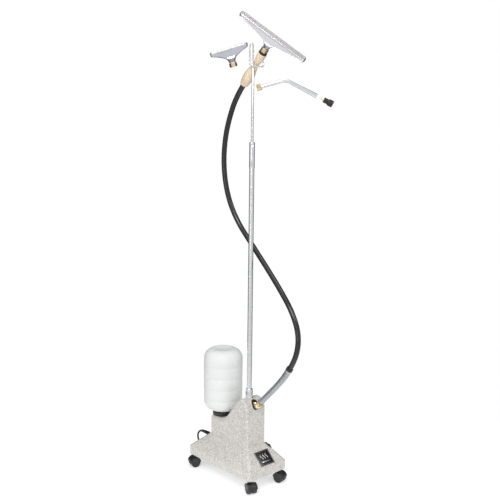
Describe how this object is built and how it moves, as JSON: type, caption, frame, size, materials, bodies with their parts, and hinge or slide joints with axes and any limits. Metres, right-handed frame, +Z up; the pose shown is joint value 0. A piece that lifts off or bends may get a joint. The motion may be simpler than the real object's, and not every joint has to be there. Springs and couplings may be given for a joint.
{
  "type": "garment steamer",
  "caption": "Upright garment steamer on casters: speckled cast boiler base, inverted water bottle, telescoping mast with crook, black steam hose, wooden handle and wide steam head.",
  "frame": {"origin": "on the floor under the middle of the housing's footprint", "axes": "+Z up, -Y towards the front where the steam outlet and the plate are, +X to the side that carries the handle and the foot switch"},
  "size_m": [0.3943, 0.6132, 1.8042],
  "materials": {
    "cast_housing": "light grey speckled cast finish",
    "galvanised": "zinc plated",
    "screw_steel": "satin",
    "plate_black": "black plate with bright border",
    "black_plastic": "black moulded",
    "switch_black": "black moulded",
    "boiler_metal": "cast",
    "feed_silicone": "silicone",
    "copper_pipe": "drawn copper",
    "brass": "polished",
    "hose_rubber": "gloss black",
    "chrome": "polished",
    "mast_aluminium": "satin anodised",
    "bottle_plastic": "translucent milky",
    "pale_wood": "clear lacquered pale wood",
    "face_plate": "matt beige grey",
    "cord_black": "satin black",
    "caster_nylon": "black nylon",
    "caster_tread": "black nylon"
  },
  "bodies": {
    "root": {"housing_shell": "cast_housing", "base_plate": "galvanised", "base_screws": "screw_steel", "name_plate": "plate_black", "switch_bezel": "black_plastic", "boiler_tank": "boiler_metal", "boiler_lid": "boiler_metal", "heating_element": "galvanised", "thermostat": "galvanised", "thermal_cutout": "galvanised", "bottle_cup": "black_plastic", "feed_tube": "feed_silicone", "steam_riser": "copper_pipe", "outlet_elbow": "brass", "outlet_bush": "black_plastic", "hose_lower": "hose_rubber", "hose_spring": "chrome", "hose_collar": "hose_rubber", "mast_socket": "chrome", "socket_screw": "screw_steel", "lower_tube": "mast_aluminium", "tube_ferrule": "mast_aluminium", "cord_gland": "black_plastic", "power_cord": "cord_black", "cord_coil": "cord_black", "cord_tie": "cord_black", "plug_body": "black_plastic", "plug_pins": "brass", "caster_sockets": "galvanised"},
    "switch": {"switch_rocker": "switch_black"},
    "mast_rod": {"upper_rod": "mast_aluminium", "rod_guide": "black_plastic", "hook_wire": "chrome", "hose_upper": "hose_rubber"},
    "bottle": {"bottle": "bottle_plastic", "bottle_cap": "black_plastic", "cap_gasket": "feed_silicone", "valve_spring": "screw_steel"},
    "valve": {"valve_plunger": "black_plastic"},
    "handle": {"handle_grip": "pale_wood", "handle_collar": "black_plastic", "handle_nipple": "brass"},
    "head_union": {"long_nut": "brass"},
    "steam_head": {"long_head": "chrome", "long_face": "face_plate"},
    "spare_head": {"short_head": "chrome", "short_face": "face_plate"},
    "spare_union": {"short_nut": "brass"},
    "wand": {"wand_tube": "chrome"},
    "wand_union": {"wand_nut": "brass"},
    "nozzle": {"nozzle_tip": "brass", "nozzle_cap": "black_plastic"},
    "caster_1": {"caster_fork_1": "caster_nylon"},
    "wheels_1": {"caster_wheels_1": "caster_tread"},
    "caster_2": {"caster_fork_2": "caster_nylon"},
    "wheels_2": {"caster_wheels_2": "caster_tread"},
    "caster_3": {"caster_fork_3": "caster_nylon"},
    "wheels_3": {"caster_wheels_3": "caster_tread"},
    "caster_4": {"caster_fork_4": "caster_nylon"},
    "wheels_4": {"caster_wheels_4": "caster_tread"}
  },
  "joints": [
    {"name": "switch_rock", "type": "hinge", "parent": "root", "child": "switch", "pos_m": [0.0638, -0.112, 0.13876], "axis": [-0.6039, 0, 0.7971], "range_deg": [0, 9]},
    {"name": "rod_telescope", "type": "slide", "parent": "root", "child": "mast_rod", "axis": [0, 0, 1], "range_m": [-0.22, 0], "deforming": ["hose_lower"]},
    {"name": "handle_lift", "type": "slide", "parent": "mast_rod", "child": "handle", "axis": [0, 0, 1], "range_m": [0, 0.1], "deforming": ["hose_upper"]},
    {"name": "head_union_turn", "type": "hinge", "parent": "handle", "child": "head_union", "pos_m": [0.0158, -0.0674, 1.618], "axis": [0, -0.6691, 0.7431], "continuous": true},
    {"name": "head_turn", "type": "hinge", "parent": "handle", "child": "steam_head", "pos_m": [0.0158, -0.0674, 1.618], "axis": [0, -0.6691, 0.7431], "continuous": true},
    {"name": "spare_head_lift", "type": "slide", "parent": "root", "child": "spare_head", "axis": [0, 0, 1], "range_m": [0, 0.1]},
    {"name": "spare_union_turn", "type": "hinge", "parent": "spare_head", "child": "spare_union", "pos_m": [-0.04643, -0.01627, 1.60978], "axis": [0.2777, -0.1173, -0.9535], "continuous": true},
    {"name": "wand_lift", "type": "slide", "parent": "root", "child": "wand", "axis": [0, 0, 1], "range_m": [0, 0.1]},
    {"name": "wand_union_turn", "type": "hinge", "parent": "wand", "child": "wand_union", "pos_m": [0.05218, -0.03629, 1.53447], "axis": [-0.7116, 0.6462, -0.2757], "continuous": true},
    {"name": "nozzle_fit", "type": "slide", "parent": "wand", "child": "nozzle", "axis": [-0.6625, 0.6016, 0.4463], "range_m": [0, 0.0295]},
    {"name": "bottle_lift", "type": "slide", "parent": "root", "child": "bottle", "axis": [0, 0, 1], "range_m": [0, 0.12]},
    {"name": "valve_push", "type": "slide", "parent": "bottle", "child": "valve", "axis": [0, 0, 1], "range_m": [0, 0.003], "stiffness_N_per_m": 80, "springref_m": -0.004, "deforming": ["valve_spring"]},
    {"name": "caster_swivel_1", "type": "hinge", "parent": "root", "child": "caster_1", "pos_m": [-0.074, -0.158, 0.05], "axis": [0, 0, 1], "continuous": true},
    {"name": "caster_roll_1", "type": "hinge", "parent": "caster_1", "child": "wheels_1", "pos_m": [-0.07879, -0.17116, 0.02], "axis": [0.9397, -0.342, 0], "continuous": true},
    {"name": "caster_swivel_2", "type": "hinge", "parent": "root", "child": "caster_2", "pos_m": [0.074, -0.158, 0.05], "axis": [0, 0, 1], "continuous": true},
    {"name": "caster_roll_2", "type": "hinge", "parent": "caster_2", "child": "wheels_2", "pos_m": [0.07643, -0.17179, 0.02], "axis": [0.9848, 0.1736, 0], "continuous": true},
    {"name": "caster_swivel_3", "type": "hinge", "parent": "root", "child": "caster_3", "pos_m": [-0.074, 0.158, 0.05], "axis": [0, 0, 1], "continuous": true},
    {"name": "caster_roll_3", "type": "hinge", "parent": "caster_3", "child": "wheels_3", "pos_m": [-0.08752, 0.16162, 0.02], "axis": [-0.2588, -0.9659, 0], "continuous": true},
    {"name": "caster_swivel_4", "type": "hinge", "parent": "root", "child": "caster_4", "pos_m": [0.074, 0.158, 0.05], "axis": [0, 0, 1], "continuous": true},
    {"name": "caster_roll_4", "type": "hinge", "parent": "caster_4", "child": "wheels_4", "pos_m": [0.08612, 0.165, 0.02], "axis": [-0.5, 0.866, 0], "continuous": true}
  ]
}
